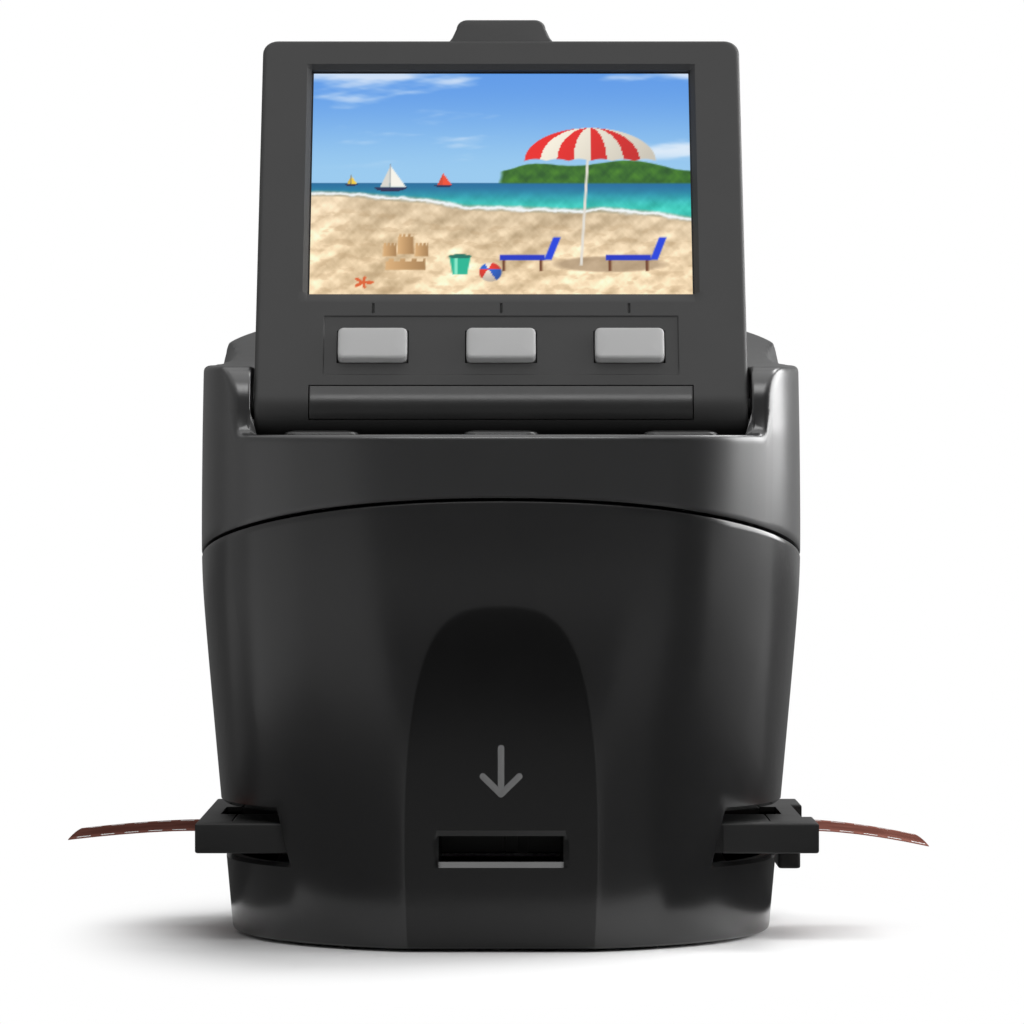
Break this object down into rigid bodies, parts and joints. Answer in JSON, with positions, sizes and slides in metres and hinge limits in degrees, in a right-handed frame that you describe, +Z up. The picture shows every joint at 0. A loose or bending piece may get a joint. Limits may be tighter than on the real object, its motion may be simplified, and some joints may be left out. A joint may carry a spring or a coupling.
{
  "type": "film negative scanner",
  "caption": "Desktop film negative scanner: round casing, screen that folds down into a well, soft keys, deck keys and a film adapter that slides out to the right.",
  "frame": {"origin": "on the resting plane, under the middle of the casing", "axes": "+X to the right seen from the front, +Y from front to back, +Z up"},
  "size_m": [0.172, 0.1254, 0.1839],
  "materials": {
    "casing_black": "satin",
    "casing_dark": "satin",
    "foot_rubber": "matte",
    "screw_steel": "satin",
    "tray_black": "satin",
    "arrow_grey": "matte",
    "bush_white": "satin",
    "guide_black": "matte",
    "light_white": "matte",
    "diffuser_white": "matte",
    "lens_clear": "polished",
    "board_green": "satin",
    "chip_black": "matte",
    "port_metal": "satin",
    "ribbon_amber": "gloss",
    "key_dark": "satin",
    "bezel_grey": "satin",
    "bezel_black": "satin",
    "window_clear": "polished",
    "display_lit": "gloss",
    "soft_key_grey": "satin",
    "adapter_black": "satin",
    "adapter_dark": "satin",
    "film_brown": "gloss"
  },
  "bodies": {
    "casing": {"lower_shell": "casing_black", "upper_shell": "casing_dark", "base_plate": "casing_black", "rubber_feet": "foot_rubber", "base_screws": "screw_steel", "shell_screws": "screw_steel", "top_tray": "tray_black", "arrow_mark": "arrow_grey", "hinge_bushes": "bush_white", "lower_guide": "guide_black", "upper_guide": "guide_black", "guide_screws": "screw_steel", "light_box": "light_white", "led_board": "light_white", "diffuser": "diffuser_white", "camera_tower": "guide_black", "tower_screws": "screw_steel", "lens_holder": "guide_black", "lens_glass": "lens_clear", "sensor_board": "board_green", "image_sensor": "chip_black", "main_board": "board_green", "main_board_screws": "screw_steel", "processor": "chip_black", "usb_port": "port_metal", "hdmi_port": "port_metal", "card_socket": "port_metal", "sensor_cable": "ribbon_amber", "key_board": "board_green", "key_board_screws": "screw_steel", "deck_switches": "chip_black"},
    "screen": {"screen_bezel": "bezel_grey", "screen_back": "bezel_black", "screen_window": "window_clear", "display_panel": "display_lit", "screen_board": "board_green", "soft_switches": "chip_black", "screen_screws": "screw_steel", "hinge_cover": "bezel_grey", "hinge_pins": "screw_steel"},
    "left_soft_key": {"left_soft_key": "soft_key_grey"},
    "centre_soft_key": {"centre_soft_key": "soft_key_grey"},
    "right_soft_key": {"right_soft_key": "soft_key_grey"},
    "home_key": {"home_key": "key_dark"},
    "scan_key": {"scan_key": "key_dark"},
    "power_key": {"power_key": "key_dark"},
    "adapter": {"adapter_base": "adapter_black", "adapter_lid": "adapter_dark", "lid_hinge_pin": "screw_steel", "film_strip": "film_brown"}
  },
  "joints": [
    {"name": "screen_hinge", "type": "hinge", "parent": "casing", "child": "screen", "pos_m": [0, -0.039, 0.1045], "axis": [-1, 0, 0], "range_deg": [0, 53]},
    {"name": "left_soft_key_press", "type": "slide", "parent": "screen", "child": "left_soft_key", "axis": [0, 0.866, -0.5], "range_m": [0, 0.0006], "stiffness_N_per_m": 400},
    {"name": "centre_soft_key_press", "type": "slide", "parent": "screen", "child": "centre_soft_key", "axis": [0, 0.866, -0.5], "range_m": [0, 0.0006], "stiffness_N_per_m": 400},
    {"name": "right_soft_key_press", "type": "slide", "parent": "screen", "child": "right_soft_key", "axis": [0, 0.866, -0.5], "range_m": [0, 0.0006], "stiffness_N_per_m": 400},
    {"name": "home_key_press", "type": "slide", "parent": "casing", "child": "home_key", "axis": [0, 0, -1], "range_m": [0, 0.0008], "stiffness_N_per_m": 400},
    {"name": "scan_key_press", "type": "slide", "parent": "casing", "child": "scan_key", "axis": [0, 0, -1], "range_m": [0, 0.0008], "stiffness_N_per_m": 400},
    {"name": "power_key_press", "type": "slide", "parent": "casing", "child": "power_key", "axis": [0, 0, -1], "range_m": [0, 0.0008], "stiffness_N_per_m": 400},
    {"name": "adapter_slide", "type": "slide", "parent": "casing", "child": "adapter", "axis": [1, 0, 0], "range_m": [0, 0.15]}
  ]
}
